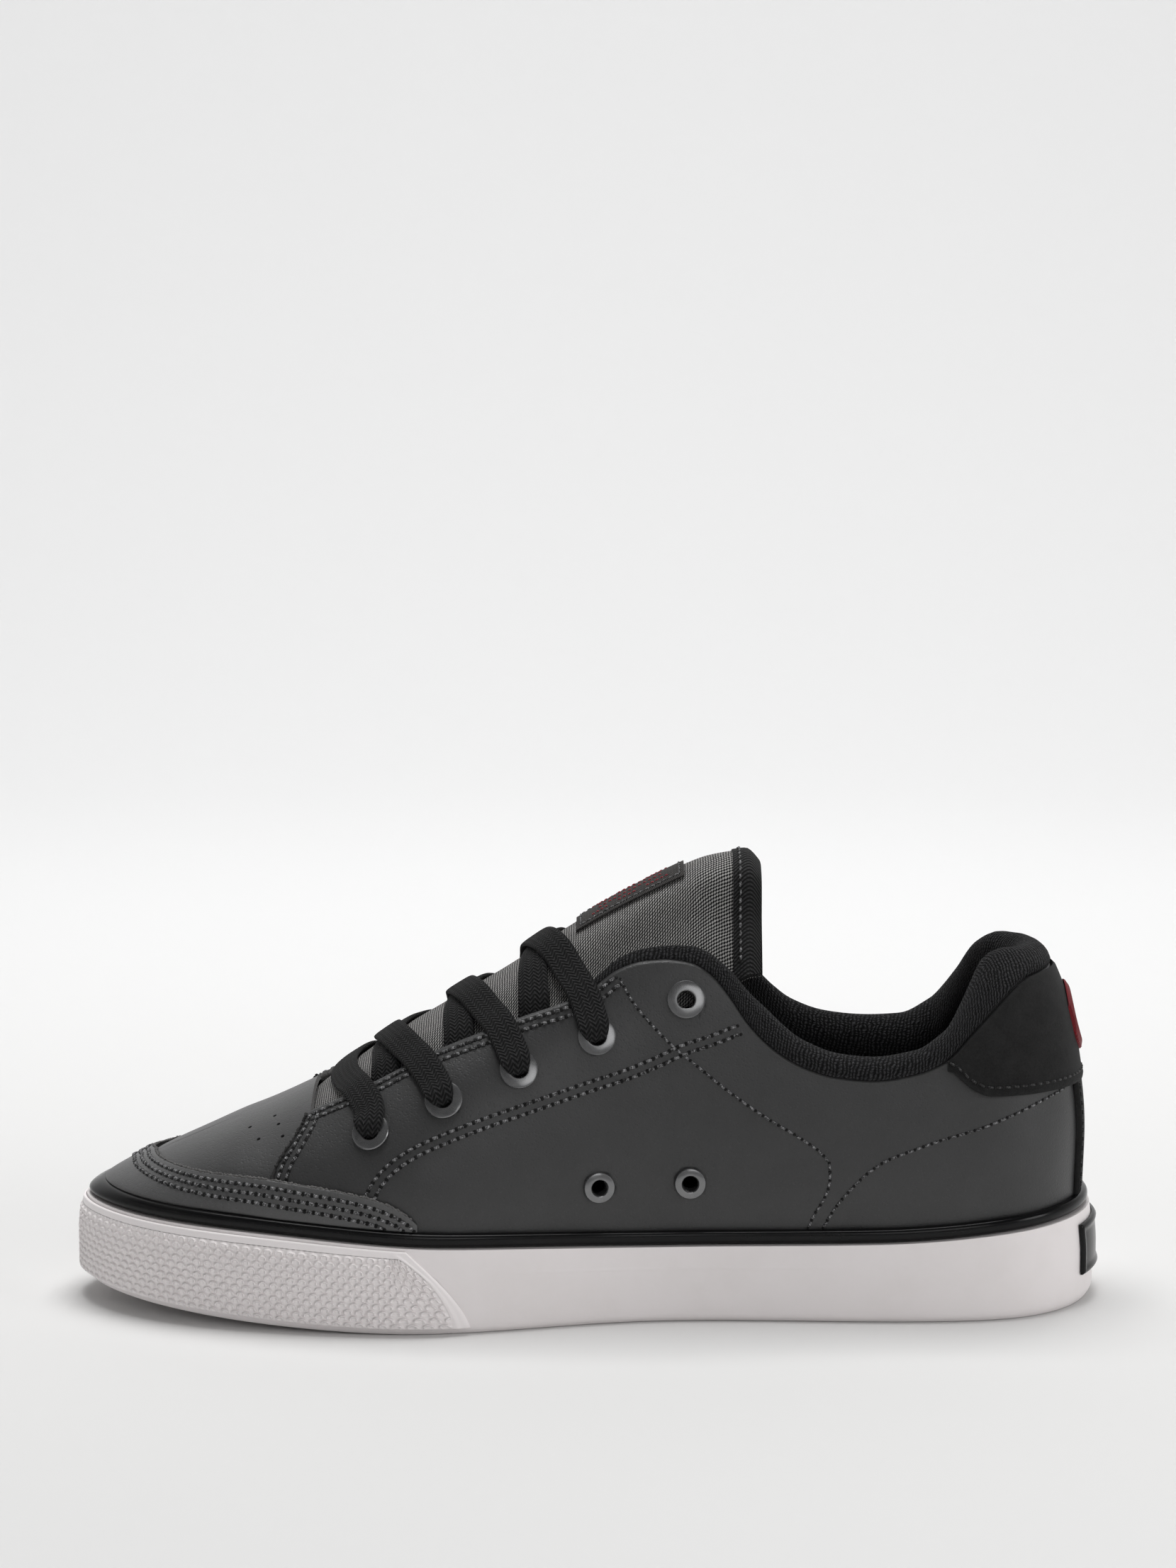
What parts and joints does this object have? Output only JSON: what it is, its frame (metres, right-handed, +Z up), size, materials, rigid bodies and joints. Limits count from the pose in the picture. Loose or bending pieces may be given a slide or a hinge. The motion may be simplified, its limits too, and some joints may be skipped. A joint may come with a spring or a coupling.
{
  "type": "skateboarding shoe",
  "caption": "Low dark grey leather skateboarding shoe for the right foot, with a white rubber cupsole, black flat laces, a grey canvas tongue and a black padded collar.",
  "frame": {"origin": "on the floor under the middle of the heel, on the flat lug of the sole's tread there", "axes": "+X points to the toe, +Y to the shoe's medial side, the big toe's, and +Z up"},
  "size_m": [0.2976, 0.1094, 0.1303],
  "materials": {
    "grey_leather": "matte",
    "black_nubuck": "matte",
    "black_terry": "matte",
    "grey_canvas": "matte",
    "black_lace": "matte",
    "red_thread": "satin",
    "white_rubber": "satin",
    "black_rubber": "gloss",
    "grey_metal": "gloss"
  },
  "bodies": {
    "root": {"cupsole": "white_rubber", "toe_bumper": "white_rubber", "piping": "black_rubber", "heel_badge": "black_rubber", "insole": "black_terry", "upper": "grey_leather", "toe_guard": "grey_leather", "heel_tab": "black_nubuck", "backstay": "black_nubuck", "heel_patch": "red_thread", "collar": "black_terry", "tongue": "grey_canvas", "tongue_label": "black_lace", "lace_bar_1": "black_lace", "lace_cross_2": "black_lace", "lace_cross_3": "black_lace", "lace_cross_4": "black_lace", "eyelet_medial_1": "grey_metal", "eyelet_medial_2": "grey_metal", "eyelet_medial_3": "grey_metal", "eyelet_medial_4": "grey_metal", "eyelet_medial_5": "grey_metal", "eyelet_lateral_1": "grey_metal", "eyelet_lateral_2": "grey_metal", "eyelet_lateral_3": "grey_metal", "eyelet_lateral_4": "grey_metal", "eyelet_lateral_5": "grey_metal", "vent_1": "grey_metal", "vent_2": "grey_metal"}
  },
  "joints": []
}
